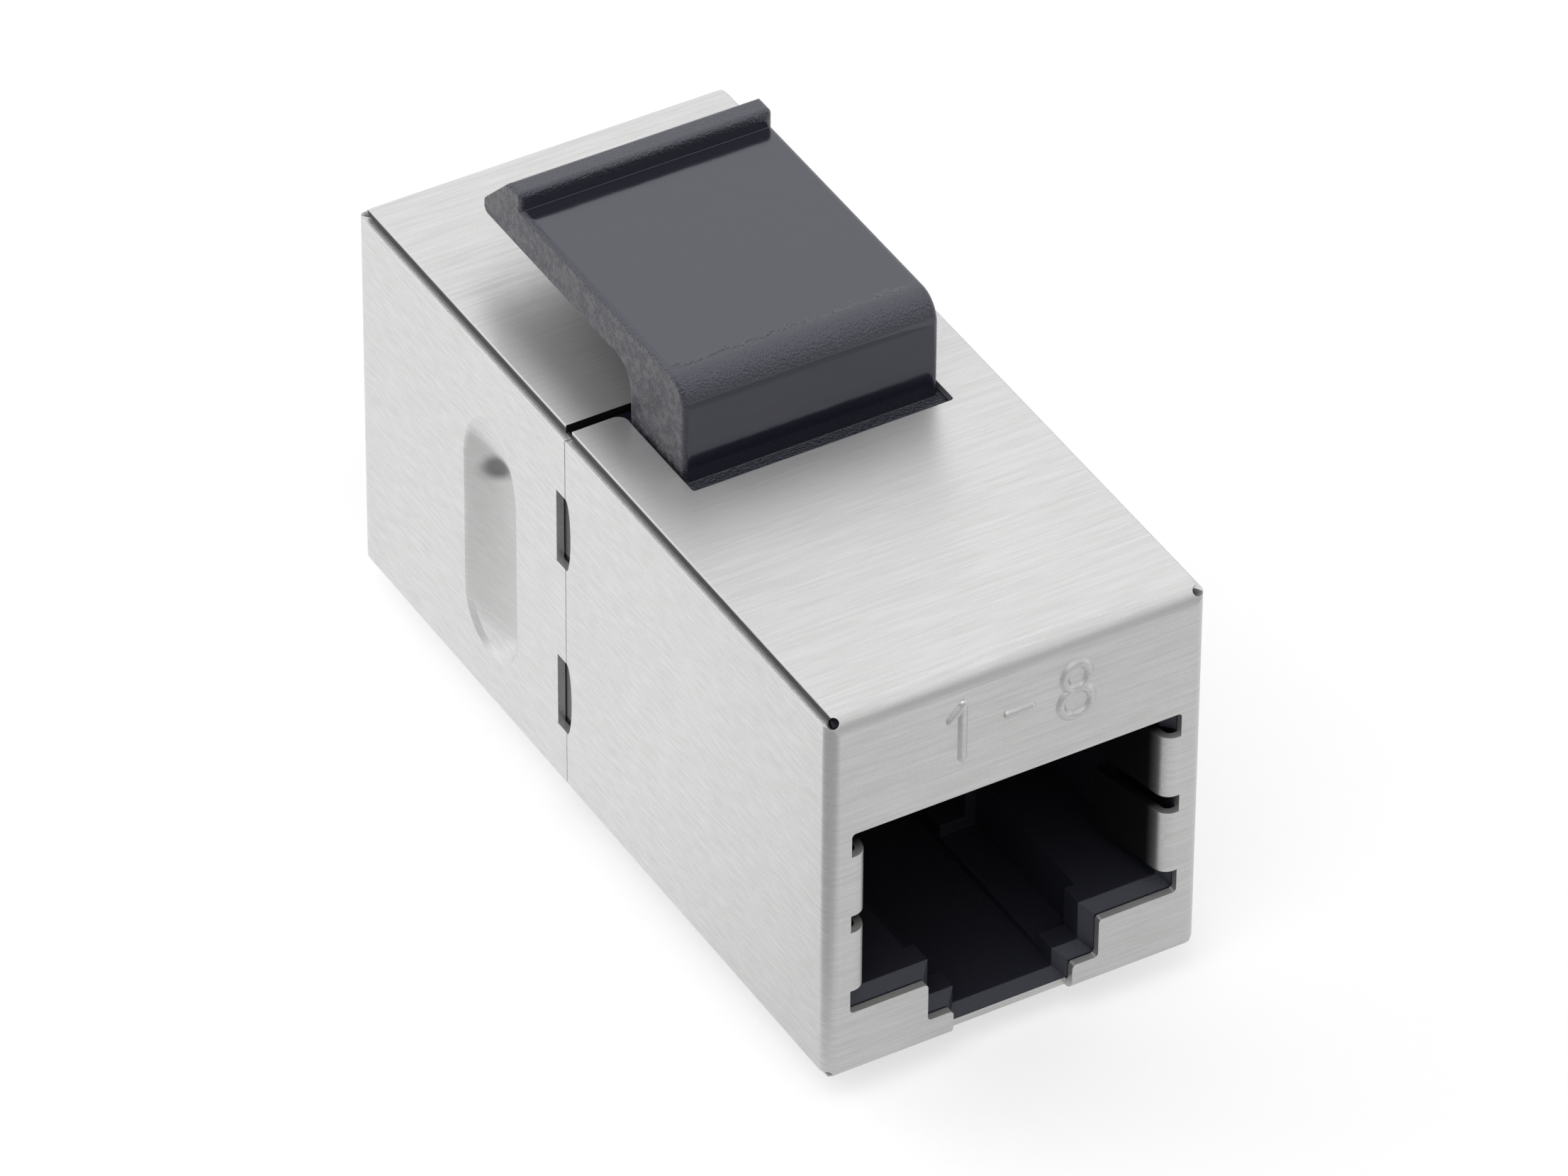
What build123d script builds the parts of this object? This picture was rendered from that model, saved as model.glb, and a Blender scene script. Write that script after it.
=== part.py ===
"""Shielded RJ45 inline coupler of keystone size, socket to socket.

Two folded sheet-steel half shells close around a plastic latch frame, two socket housings,
two contact carriers, sixteen spring contacts and a small circuit board.

+X is the width, from left to right seen from the front. +Y runs from the front socket to the rear one.
+Z is up, and the latch is on top. The origin lies under the middle of the body, level with the foot of
the fixed lug. All sizes are millimetres. The functions work in body places: Y from the outer face of the
front plate and Z from the outer face of the bottom flap.
"""

import os
from math import radians, tan

from build123d import *

# Body over the folded shells
BODY_WIDTH = 14.6
BODY_HEIGHT = 15.7
BODY_LENGTH = 32.6
SHEET = 0.3
FIT = 0.05
SEAM_PAST_MIDDLE = 1.5
WALL_STEP = 0.25
SIDE_SEAM_GAP = 0.04
FLAP_SEAM_GAP = 0.35
SIDE_BEND_R = 0.5
TOP_BEND_R = 0.8
BOTTOM_BEND_R = 0.5
RELIEF_R = 0.2
RELIEF_INSET = 0.36

# Socket mouth in the plate: main window, latch step and latch slot
MOUTH_HALF_WIDTH = 6.4
PLATE_OVER_MOUTH = 5.1
SHELF_HEIGHT = 2.77
STEP_HALF_WIDTH = 3.35
STEP_HEIGHT = 1.16
SLOT_HALF_WIDTH = 2.34
MOUTH_CORNER_R = 0.16

# Ground tabs, folded inwards from the sides of the mouth; places and height are shares of its height
TAB_ROOT_INSET = 0.13
TAB_BEND_R = 0.55
TAB_LEAN = 11.6
TAB_REACH = 3.4
TAB_SHARE = 0.326
TAB_PLACES = (0.289, 0.71)

# Tongues of the front shell, tucked under the rear shell at its edge windows
TONGUE_PLACES = (-3.75, 3.45)
TONGUE_WIDTH = 2.75
TONGUE_REACH = 1.5
TONGUE_DROP = 0.34
TONGUE_SLOPE_LENGTH = 0.45
WINDOW_HEIGHT = 3.1
WINDOW_DEPTH = 0.62
SCALLOP_DEPTH = 0.34

# Pressed trough in each side of the rear shell: deep along its front edge, shallow behind and below
TROUGH_FROM_REAR = 9.45
TROUGH_DROP = 0.4
TROUGH_LENGTH = 10.5
TROUGH_WIDTH = 3.7
TROUGH_POINT = 2.7
TROUGH_FLOOR_TOP = 2.7
TROUGH_FLOOR_BOTTOM = 4.1
TROUGH_FLOOR_FRONT = 1.68
TROUGH_FLOOR_BACK = 1.05
TROUGH_DEPTH = 0.75
TROUGH_TILT = 8.0
TROUGH_RISE = 1.2
TROUGH_BRINK_DEPTH = 0.15
TROUGH_BRINK_REACH = 0.75
TROUGH_BRINK_TOP_REACH = 0.5

# Latch and fixed lug
LATCH_HALF_WIDTH = 4.97
LATCH_OVER_BODY = 3.75
LATCH_ARM_THICKNESS = 1.58
LATCH_AHEAD_OF_MIDDLE = 2.55
LATCH_BLOCK_LENGTH = 3.6
LATCH_LENGTH = 13.8
LATCH_NOSE_R = 1.05
LATCH_EDGE_R = 0.22
LIP_FROM_END = 2.55
LIP_HEIGHT = 0.7
LIP_THICKNESS = 0.8
LIP_EDGE_R = 0.22
NOTCH_SIDE_GAP = 0.12
NOTCH_FRONT_GAP = 0.85
NOTCH_INNER_R = 0.12
NOTCH_OUTER_R = 0.4
LUG_HALF_WIDTH = 4.2
LUG_HEIGHT = 1.2
LUG_LENGTH = 2.2
LUG_RAMP = 0.8
LUG_NOTCH_GAP = 0.4

# Plastic inside
RING_HALF_LENGTH = 3.2
FRAME_GAP = 0.1
MOUTH_CHAMFER = 0.4
STOP_WALL = 0.8
CATCH_WALL = 1.3
CATCH_LENGTH = 6.5
CATCH_FLOOR = 1.1
SLOT_FLOOR = 0.8
TAB_POCKET_DEPTH = 4.2
TAB_POCKET_INSET = 0.02
BAY_FRONT = 2.6
COMB_WEB = 0.75
COMB_END_WALL = 0.4

# Contact carriers, contacts and board
CARRIER_HALF_WIDTH = 5.5
CARRIER_HEIGHT = 3.4
CARRIER_FRONT = 4.4
CARRIER_BOARD_GAP = 0.65
CONTACT_COUNT = 8
CONTACT_PITCH = 1.02
CONTACT_WIDTH = 0.42
CONTACT_THICKNESS = 0.3
CONTACT_CLEARANCE = 0.03
COMB_CLEARANCE = 0.1
CONTACT_FRONT = 3.3
CONTACT_BEND_R = 0.7
CONTACT_TIP_GAP = 1.0
CONTACT_DIP = 2.0
ROW_HEIGHTS = (1.0, 2.3)
TAIL_STAND_OUT = 0.35
BOARD_THICKNESS = 1.6
BOARD_SIDE_MARGIN = 1.05
BOARD_MARGIN = 0.85
HOLE_CLEARANCE = 0.06

# Worked out from the sizes above
HALF_WIDTH = BODY_WIDTH / 2
MIDDLE_Y = BODY_LENGTH / 2
INSIDE = SHEET + FIT
INNER_TOP = BODY_HEIGHT - INSIDE
FRONT_SHELL_LENGTH = MIDDLE_Y + SEAM_PAST_MIDDLE
FLAP_HALF_WIDTH = HALF_WIDTH - WALL_STEP
MOUTH_TOP = BODY_HEIGHT - PLATE_OVER_MOUTH
MOUTH_HEIGHT = MOUTH_TOP - SHELF_HEIGHT
TAB_ROOT_X = MOUTH_HALF_WIDTH - TAB_ROOT_INSET
TAB_POCKET_HALF_WIDTH = MOUTH_HALF_WIDTH - TAB_POCKET_INSET
TAB_HEIGHT = MOUTH_HEIGHT * TAB_SHARE
TAB_CENTRES = [SHELF_HEIGHT + MOUTH_HEIGHT * place for place in TAB_PLACES]
TONGUE_CENTRES = [BODY_HEIGHT / 2 + place for place in TONGUE_PLACES]
LATCH_TOP = BODY_HEIGHT + LATCH_OVER_BODY
LATCH_BLOCK_FRONT = MIDDLE_Y - LATCH_AHEAD_OF_MIDDLE
LATCH_END = LATCH_BLOCK_FRONT + LATCH_LENGTH
LIP_FRONT = LATCH_END - LIP_FROM_END
FRAME_FRONT = MIDDLE_Y - RING_HALF_LENGTH
HOUSING_BACK = FRAME_FRONT - FRAME_GAP
CHANNEL_DEPTH = HOUSING_BACK - STOP_WALL
CHANNEL_TOP = MOUTH_TOP - MOUTH_CHAMFER
BAY_FLOOR = CHANNEL_TOP + COMB_WEB
CARRIER_BOTTOM = BAY_FLOOR + FIT
CARRIER_TOP = CARRIER_BOTTOM + CARRIER_HEIGHT
CONTACT_TIP_Y = CHANNEL_DEPTH - CONTACT_TIP_GAP
BOARD_FRONT = MIDDLE_Y - BOARD_THICKNESS / 2
BOARD_HALF_WIDTH = HALF_WIDTH - INSIDE - BOARD_SIDE_MARGIN
REAR_PLACE = Plane.XZ.offset(-MIDDLE_Y)
ROW_PLACE = Location((0, -MIDDLE_Y, LUG_HEIGHT))
CUT_MARGIN = 1.0


def outline(*corners: tuple) -> Face:
    """A closed face through corners (a, b) or (a, b, radius)."""
    points = [(corner[0], corner[1]) for corner in corners]
    radii = [corner[2] if len(corner) == 3 else 0 for corner in corners]
    return make_face(FilletPolyline(*points, radius=radii, close=True))


def side_prism(profile: Face, left: float, right: float) -> Part:
    """Extrude a (Y, Z) profile across X."""
    return Part() + extrude(Plane.YZ.offset(left) * profile, amount=right - left)


def plan_prism(profile: Face, low: float, high: float) -> Part:
    """Extrude an (X, Y) profile up Z."""
    return Part() + extrude(Plane.XY.offset(low) * profile, amount=high - low)


def front_prism(profile: Face, front: float, back: float, taper: float = 0) -> Part:
    """Extrude an (X, Z) profile along Y; a taper shrinks it towards the back."""
    return Part() + extrude(Plane.XZ.offset(-front) * profile, amount=front - back, taper=taper)


def block(x_range: tuple, y_range: tuple, z_range: tuple) -> Part:
    """A box from its ranges along X, Y and Z."""
    size = [high - low for low, high in (x_range, y_range, z_range)]
    return Pos(x_range[0], y_range[0], z_range[0]) * Box(*size, align=Align.MIN)


def both_sides(shape: Part) -> Part:
    """A shape and its mirror image across the middle plane."""
    return shape + mirror(shape, about=Plane.YZ)


def bent_form(inset: float, back: float) -> Part:
    """The body's outer form behind the plate's bends, shrunk by an inset, up to a plane at back."""
    top_r = max(TOP_BEND_R - inset, FIT)
    bottom_r = max(BOTTOM_BEND_R - inset, FIT)
    side_r = max(SIDE_BEND_R - inset, FIT)
    half = HALF_WIDTH - inset
    low = inset
    high = BODY_HEIGHT - inset
    from_side = outline((back, low), (back, high), (inset, high, top_r), (inset, low, bottom_r))
    form = side_prism(from_side, -half, half)
    reach = side_r + CUT_MARGIN
    square = Rectangle(reach, reach, align=(Align.MIN, Align.MAX))
    waste = Pos(half - side_r, inset + side_r) * (square - Circle(side_r))
    return form - both_sides(plan_prism(waste, -CUT_MARGIN, BODY_HEIGHT + CUT_MARGIN))


def mouth_face() -> Face:
    """The opening cut in the plate, with a notch above, between and below the ground tabs."""
    slot_end = -CUT_MARGIN
    right = [(MOUTH_HALF_WIDTH, MOUTH_TOP, MOUTH_CORNER_R)]
    for centre in reversed(TAB_CENTRES):
        high = centre + TAB_HEIGHT / 2
        low = centre - TAB_HEIGHT / 2
        right += [(MOUTH_HALF_WIDTH, high), (TAB_ROOT_X, high), (TAB_ROOT_X, low), (MOUTH_HALF_WIDTH, low)]
    right += [
        (MOUTH_HALF_WIDTH, SHELF_HEIGHT, MOUTH_CORNER_R),
        (STEP_HALF_WIDTH, SHELF_HEIGHT, MOUTH_CORNER_R),
        (STEP_HALF_WIDTH, STEP_HEIGHT, MOUTH_CORNER_R),
        (SLOT_HALF_WIDTH, STEP_HEIGHT, MOUTH_CORNER_R),
        (SLOT_HALF_WIDTH, slot_end),
    ]
    left = [(-corner[0], *corner[1:]) for corner in reversed(right)]
    return outline(*right, *left)


def ground_tab() -> Part:
    """One ground tab on the right side of the mouth, centred on Z zero."""
    middle_r = TAB_BEND_R - SHEET / 2
    turn = radians(90 - TAB_LEAN)
    corner_x = TAB_ROOT_X - middle_r * tan(turn / 2)
    run = TAB_REACH - SHEET / 2
    path = FilletPolyline(
        (TAB_ROOT_X + SHEET, SHEET / 2),
        (corner_x, SHEET / 2),
        (corner_x - run * tan(radians(TAB_LEAN)), TAB_REACH),
        radius=middle_r,
    )
    strip = trace(path, line_width=SHEET)
    return Part() + extrude(Plane.XY.offset(-TAB_HEIGHT / 2) * strip, amount=TAB_HEIGHT)


def flap_trim(edge: float, notch_half: float, notch_front: float) -> Face:
    """What is cut from a top or bottom flap: all past its free edge, and the notch at its middle."""
    reach = HALF_WIDTH
    end = edge + CUT_MARGIN
    return outline(
        (-notch_half, notch_front, NOTCH_INNER_R),
        (notch_half, notch_front, NOTCH_INNER_R),
        (notch_half, edge, NOTCH_OUTER_R),
        (reach, edge),
        (reach, end),
        (-reach, end),
        (-reach, edge),
        (-notch_half, edge, NOTCH_OUTER_R),
    )


def fold_cuts(length: float) -> Part:
    """What parts the right side wall from the flap that lies over it, and the hole where they meet."""
    outside = HALF_WIDTH + CUT_MARGIN
    wall_end = BODY_HEIGHT - INSIDE
    gap_x = (HALF_WIDTH - INSIDE, outside)
    gap = block(gap_x, (SIDE_BEND_R, length), (wall_end, BODY_HEIGHT - SHEET))
    step_y = (SIDE_BEND_R / 2, length)
    step = block((FLAP_HALF_WIDTH, outside), step_y, (wall_end, BODY_HEIGHT + CUT_MARGIN))
    centre = (HALF_WIDTH - RELIEF_INSET, RELIEF_INSET, BODY_HEIGHT - RELIEF_INSET)
    hole = Plane(origin=centre, z_dir=(1, -1, 1)) * Cylinder(RELIEF_R, 4 * SHEET)
    return gap + step + hole


def folded_shell(length: float) -> Part:
    """A plate with four flaps bent back, parted at the corners and opened by the socket mouth."""
    shell = bent_form(0, length) - bent_form(SHEET, length + CUT_MARGIN)
    cuts = fold_cuts(length)
    cuts += mirror(cuts, about=Plane.XY.offset(BODY_HEIGHT / 2))
    shell -= both_sides(cuts)
    shell -= front_prism(mouth_face(), -CUT_MARGIN, BOTTOM_BEND_R)
    for centre in TAB_CENTRES:
        shell += both_sides(Pos(0, 0, centre) * ground_tab())
    return shell


def tongue() -> Part:
    """A joggled tongue at the right side's free edge, centred on Z zero."""
    seam = FRONT_SHELL_LENGTH
    root = seam - SCALLOP_DEPTH - TONGUE_SLOPE_LENGTH
    foot = root + TONGUE_SLOPE_LENGTH
    inner = HALF_WIDTH - SHEET
    shelf = HALF_WIDTH - TONGUE_DROP
    profile = outline(
        (inner, root - SHEET),
        (HALF_WIDTH - SHEET / 10, root),
        (shelf, foot),
        (shelf, seam + TONGUE_REACH),
        (shelf - SHEET, seam + TONGUE_REACH),
        (shelf - SHEET, foot - SHEET / 2),
    )
    return plan_prism(profile, -TONGUE_WIDTH / 2, TONGUE_WIDTH / 2)


def build_front_shell() -> Part:
    """Front half shell: notched for the latch and the lug, with two tongues a side."""
    length = FRONT_SHELL_LENGTH - SIDE_SEAM_GAP / 2
    shell = folded_shell(length)
    edge = length - FIT
    latch_notch = flap_trim(edge, LATCH_HALF_WIDTH + NOTCH_SIDE_GAP, LATCH_BLOCK_FRONT - NOTCH_FRONT_GAP)
    lug_notch = flap_trim(edge, LUG_HALF_WIDTH + NOTCH_SIDE_GAP, LATCH_BLOCK_FRONT - LUG_NOTCH_GAP)
    under_flap = SHEET + FIT / 2
    shell -= plan_prism(latch_notch, BODY_HEIGHT - under_flap, BODY_HEIGHT + SHEET)
    shell -= plan_prism(lug_notch, -SHEET, under_flap)
    scallop = Plane.YZ * Pos(length, 0) * Ellipse(SCALLOP_DEPTH, WINDOW_HEIGHT / 2)
    for centre in TONGUE_CENTRES:
        cut = Pos(HALF_WIDTH - SHEET, 0, centre) * (Part() + extrude(scallop, amount=SHEET))
        shell -= both_sides(cut)
        shell += both_sides(Pos(0, 0, centre) * tongue())
    return shell


def trough_outline(top: float, bottom: float, front: float, back: float, point: float) -> Face:
    """A long shape between four limits, round below, whose upper end narrows over the length of a point."""
    middle = (front + back) / 2
    straight_top = top - point
    straight_bottom = bottom + (back - front) / 2
    edges = Curve()
    for side in (front, back):
        edges += Line((straight_bottom, side), (straight_top, side))
        edges += TangentArc((straight_top, side), (top, middle), tangent=(1, 0))
        edges += TangentArc((straight_bottom, side), (bottom, middle), tangent=(-1, 0))
    return make_face(edges)


def trough_form(depth_in_wall: float) -> Part:
    """The pressed trough on the right side, as the surface at a given depth in the sheet or below it."""
    spread = depth_in_wall * tan(radians(22.5))
    rim_half = TROUGH_LENGTH / 2 + spread
    rim_side = TROUGH_WIDTH / 2 + spread
    rim = trough_outline(rim_half, -rim_half, -rim_side, rim_side, TROUGH_POINT)
    top = TROUGH_FLOOR_TOP + spread
    bottom = -TROUGH_FLOOR_BOTTOM - spread
    front = -TROUGH_FLOOR_FRONT - spread
    back = TROUGH_FLOOR_BACK + spread
    point = (back - front) / 2
    floor = trough_outline(top, bottom, front, back, point)
    brink_top = top + TROUGH_BRINK_TOP_REACH * (rim_half - top)
    brink_bottom = bottom - TROUGH_BRINK_REACH * (rim_half + bottom)
    brink_front = (front - rim_side) / 2
    brink_back = back + TROUGH_BRINK_REACH * (rim_side - back)
    brink = trough_outline(brink_top, brink_bottom, brink_front, brink_back, point)
    centre = Pos((top + bottom) / 2, (front + back) / 2, 0)
    rise = (top - bottom) / 2 * tan(radians(TROUGH_RISE))
    middle_depth = TROUGH_DEPTH - point * tan(radians(TROUGH_TILT)) - rise
    origin = (HALF_WIDTH - depth_in_wall, BODY_LENGTH - TROUGH_FROM_REAR, BODY_HEIGHT / 2 - TROUGH_DROP)
    side = Plane(origin=origin, x_dir=(0, 0, 1), z_dir=(-1, 0, 0))
    sunk = Pos(0, 0, middle_depth) * Rot(-TROUGH_TILT, -TROUGH_RISE, 0)
    low = side * centre * sunk * centre.inverse() * floor
    ledge = side * Pos(0, 0, TROUGH_BRINK_DEPTH) * brink
    return Part() + loft([side * rim, ledge]) + loft([ledge, low])


def build_rear_shell() -> Part:
    """Rear half shell: edge windows over the tongues, and a pressed trough in each side."""
    length = BODY_LENGTH - FRONT_SHELL_LENGTH - SIDE_SEAM_GAP / 2
    shell = mirror(folded_shell(length), about=REAR_PLACE)
    trim_x = (-HALF_WIDTH, HALF_WIDTH)
    trim_y = (FRONT_SHELL_LENGTH - CUT_MARGIN, FRONT_SHELL_LENGTH + FLAP_SEAM_GAP)
    under_flap = SHEET + FIT / 2
    shell -= block(trim_x, trim_y, (BODY_HEIGHT - under_flap, BODY_HEIGHT + SHEET))
    shell -= block(trim_x, trim_y, (-SHEET, under_flap))
    side = (HALF_WIDTH - 2 * SHEET, HALF_WIDTH + SHEET)
    window_y = (FRONT_SHELL_LENGTH - SHEET, FRONT_SHELL_LENGTH + WINDOW_DEPTH)
    for centre in TONGUE_CENTRES:
        window_z = (centre - WINDOW_HEIGHT / 2, centre + WINDOW_HEIGHT / 2)
        shell -= both_sides(block(side, window_y, window_z))
    shell += both_sides(trough_form(SHEET))
    shell -= both_sides(trough_form(0))
    return shell


def latch_profile() -> Face:
    """Side view of the latch: block, nose, arm, finger lip and the slope behind it."""
    back = LATCH_BLOCK_FRONT + LATCH_BLOCK_LENGTH
    underside = LATCH_TOP - LATCH_ARM_THICKNESS
    lip_top = LATCH_TOP + LIP_HEIGHT
    lip_back = LIP_FRONT + LIP_THICKNESS
    tip_z = lip_top - (LATCH_END - lip_back)
    return outline(
        (LATCH_BLOCK_FRONT, INNER_TOP - SHEET),
        (LATCH_BLOCK_FRONT, LATCH_TOP, LATCH_NOSE_R),
        (LIP_FRONT, LATCH_TOP),
        (LIP_FRONT, lip_top),
        (lip_back, lip_top),
        (LATCH_END, tip_z, 0.3),
        (LATCH_END, underside, 0.25),
        (back, underside, LATCH_NOSE_R),
        (back, INNER_TOP - SHEET),
    )


def is_lip_edge(middle: Vector) -> bool:
    """Whether an edge with this middle belongs to the front, the top or an end of the finger lip."""
    on_lip = LIP_FRONT - FIT < middle.Y < LIP_FRONT + LIP_THICKNESS + FIT
    return on_lip and middle.Z > LATCH_TOP + FIT


def build_latch_frame() -> Part:
    """Ring around the board, the latch on top of it and the fixed lug below it, in one moulding."""
    frame_y = (FRAME_FRONT, BODY_LENGTH - FRAME_FRONT)
    half = HALF_WIDTH - INSIDE
    ring = block((-half, half), frame_y, (INSIDE, INNER_TOP))
    pocket_half = BOARD_HALF_WIDTH + FIT
    pocket_z = (INSIDE + BOARD_MARGIN - FIT, INNER_TOP - BOARD_MARGIN + FIT)
    ring -= block((-pocket_half, pocket_half), (BOARD_FRONT, frame_y[1]), pocket_z)
    seat = BOARD_HALF_WIDTH - CARRIER_HALF_WIDTH - 2 * FIT
    seat_half = pocket_half - seat
    seat_z = (pocket_z[0] + seat, pocket_z[1] - FIT)
    ring -= block((-seat_half, seat_half), (frame_y[0], BOARD_FRONT), seat_z)
    tongue_inside = HALF_WIDTH - TONGUE_DROP - SHEET - FIT
    pocket_y = (FRONT_SHELL_LENGTH - SCALLOP_DEPTH - 2 * TONGUE_SLOPE_LENGTH, frame_y[1])
    reach = TONGUE_WIDTH / 2 + FIT
    for centre in TONGUE_CENTRES:
        pocket = block((tongue_inside, half), pocket_y, (centre - reach, centre + reach))
        ring -= both_sides(pocket)
    latch = side_prism(latch_profile(), -LATCH_HALF_WIDTH, LATCH_HALF_WIDTH)
    nose_edges = latch.edges().filter_by(GeomType.CIRCLE).sort_by(Axis.Y)[:2]
    latch = fillet(nose_edges, LATCH_EDGE_R)
    lip_edges = [edge for edge in latch.edges() if is_lip_edge(edge.center())]
    latch = fillet(lip_edges, LIP_EDGE_R)
    foot = -LUG_HEIGHT
    lug_back = LATCH_BLOCK_FRONT + LUG_LENGTH
    lug = side_prism(
        outline(
            (LATCH_BLOCK_FRONT, INSIDE),
            (LATCH_BLOCK_FRONT, foot),
            (lug_back - LUG_RAMP, foot),
            (lug_back, foot + LUG_RAMP),
            (lug_back, INSIDE),
        ),
        -LUG_HALF_WIDTH,
        LUG_HALF_WIDTH,
    )
    return ring + latch + lug


def channel_face() -> Face:
    """The socket's inner opening: plug channel, latch step and slot, a chamfer inside the mouth."""
    right = [
        (MOUTH_HALF_WIDTH - MOUTH_CHAMFER, CHANNEL_TOP),
        (MOUTH_HALF_WIDTH - MOUTH_CHAMFER, SHELF_HEIGHT + MOUTH_CHAMFER),
        (STEP_HALF_WIDTH - MOUTH_CHAMFER, SHELF_HEIGHT + MOUTH_CHAMFER),
        (STEP_HALF_WIDTH - MOUTH_CHAMFER, STEP_HEIGHT + MOUTH_CHAMFER),
        (SLOT_HALF_WIDTH - MOUTH_CHAMFER, STEP_HEIGHT + MOUTH_CHAMFER),
        (SLOT_HALF_WIDTH - MOUTH_CHAMFER, SLOT_FLOOR),
    ]
    left = [(-x, z) for x, z in reversed(right)]
    return outline(*right, *left)


def mouth_lead_in() -> Part:
    """The chamfer around the mouth of a housing."""
    front = INSIDE
    right = [
        (MOUTH_HALF_WIDTH, MOUTH_TOP),
        (MOUTH_HALF_WIDTH, SHELF_HEIGHT),
        (STEP_HALF_WIDTH, SHELF_HEIGHT),
        (STEP_HALF_WIDTH, STEP_HEIGHT),
        (SLOT_HALF_WIDTH, STEP_HEIGHT),
        (SLOT_HALF_WIDTH, SLOT_FLOOR - MOUTH_CHAMFER),
    ]
    left = [(-x, z) for x, z in reversed(right)]
    return front_prism(outline(*right, *left), front, front + MOUTH_CHAMFER, taper=45)


def contact_x(number: int) -> float:
    """The middle of a numbered contact across the socket."""
    return (number - (CONTACT_COUNT + 1) / 2) * CONTACT_PITCH


def row_height(number: int, swapped: bool) -> float:
    """The height of a contact's tail: the two rows alternate, and swap places at the rear."""
    row = (number + int(swapped)) % 2
    return CARRIER_BOTTOM + ROW_HEIGHTS[row]


def build_housing() -> Part:
    """Socket housing at the front: plug channel, catch pocket, tab pockets, contact bay and comb."""
    housing = bent_form(INSIDE, HOUSING_BACK)
    housing -= front_prism(channel_face(), 0, CHANNEL_DEPTH)
    housing -= mouth_lead_in()
    catch_front = INSIDE + CATCH_WALL
    shelf = SHELF_HEIGHT + MOUTH_CHAMFER
    catch_x = (-STEP_HALF_WIDTH, STEP_HALF_WIDTH)
    housing -= block(catch_x, (catch_front, catch_front + CATCH_LENGTH), (CATCH_FLOOR, shelf))
    tab_low = TAB_CENTRES[0] - TAB_HEIGHT / 2 - FIT
    tab_high = TAB_CENTRES[-1] + TAB_HEIGHT / 2 + FIT
    housing -= block(
        (-TAB_POCKET_HALF_WIDTH, TAB_POCKET_HALF_WIDTH), (0, TAB_POCKET_DEPTH), (tab_low, tab_high)
    )
    bay_half = CARRIER_HALF_WIDTH + FIT
    housing -= block((-bay_half, bay_half), (BAY_FRONT, HOUSING_BACK), (BAY_FLOOR, CARRIER_TOP + FIT))
    comb_half = CONTACT_WIDTH / 2 + COMB_CLEARANCE
    comb_y = (BAY_FRONT, CHANNEL_DEPTH - COMB_END_WALL)
    for number in range(1, CONTACT_COUNT + 1):
        x = contact_x(number)
        housing -= block((x - comb_half, x + comb_half), comb_y, (CHANNEL_TOP, BAY_FLOOR))
    return housing


def build_rear_housing() -> Part:
    """The same housing at the rear, with side pockets that clear the shell's pressed troughs."""
    housing = mirror(build_housing(), about=REAR_PLACE)
    return housing - both_sides(trough_form(INSIDE))


def build_carrier(swapped: bool) -> Part:
    """Contact carrier at the front: a bar with one groove for each contact, open at its bottom."""
    back = BOARD_FRONT - CARRIER_BOARD_GAP
    half = CARRIER_HALF_WIDTH
    carrier = block((-half, half), (CARRIER_FRONT, back), (CARRIER_BOTTOM, CARRIER_TOP))
    groove_half = CONTACT_WIDTH / 2 + CONTACT_CLEARANCE
    for number in range(1, CONTACT_COUNT + 1):
        x = contact_x(number)
        top = row_height(number, swapped) + CONTACT_THICKNESS / 2 + CONTACT_CLEARANCE
        carrier -= block((x - groove_half, x + groove_half), (CARRIER_FRONT, back), (CARRIER_BOTTOM, top))
    return carrier


def build_contact(number: int, swapped: bool) -> Part:
    """Spring contact at the front: tail through the board, leg, front bend and sloping blade."""
    height = row_height(number, swapped)
    tail_end = BOARD_FRONT + BOARD_THICKNESS + TAIL_STAND_OUT
    bend_z = CHANNEL_TOP + CONTACT_THICKNESS / 2
    path = FilletPolyline(
        (tail_end, height),
        (CONTACT_FRONT, height),
        (CONTACT_FRONT, bend_z),
        (CONTACT_TIP_Y, bend_z - CONTACT_DIP),
        radius=CONTACT_BEND_R,
    )
    strip = trace(path, line_width=CONTACT_THICKNESS)
    x = contact_x(number)
    return side_prism(strip, x - CONTACT_WIDTH / 2, x + CONTACT_WIDTH / 2)


def build_board() -> Part:
    """Circuit board, with a hole for every contact tail."""
    low = INSIDE + BOARD_MARGIN
    high = INNER_TOP - BOARD_MARGIN
    board_y = (BOARD_FRONT, BOARD_FRONT + BOARD_THICKNESS)
    board = block((-BOARD_HALF_WIDTH, BOARD_HALF_WIDTH), board_y, (low, high))
    tail = max(CONTACT_WIDTH, CONTACT_THICKNESS)
    hole_r = tail / 2 + HOLE_CLEARANCE + CONTACT_THICKNESS / 4
    for number in range(1, CONTACT_COUNT + 1):
        for swapped in (False, True):
            centre = Plane.XZ.offset(-MIDDLE_Y) * Pos(contact_x(number), row_height(number, swapped))
            board -= centre * Cylinder(hole_r, BOARD_THICKNESS)
    return board


def to_rear(shape: Part) -> Part:
    """A front piece mirrored to the rear socket."""
    return mirror(shape, about=REAR_PLACE)


def build_all() -> dict:
    """Every node of the coupler, by name."""
    nodes = {
        "front_shell": build_front_shell(),
        "rear_shell": build_rear_shell(),
        "latch_frame": build_latch_frame(),
        "front_housing": build_housing(),
        "rear_housing": build_rear_housing(),
        "front_contact_block": build_carrier(False),
        "rear_contact_block": to_rear(build_carrier(True)),
        "circuit_board": build_board(),
    }
    for number in range(1, CONTACT_COUNT + 1):
        nodes[f"front_contact_{number}"] = build_contact(number, False)
        nodes[f"rear_contact_{number}"] = to_rear(build_contact(number, True))
    return nodes


os.makedirs("parts", exist_ok=True)
for name, shape in build_all().items():
    solid = ROW_PLACE * shape
    solid.label = name
    export_step(solid, f"parts/{name}.step")
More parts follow.
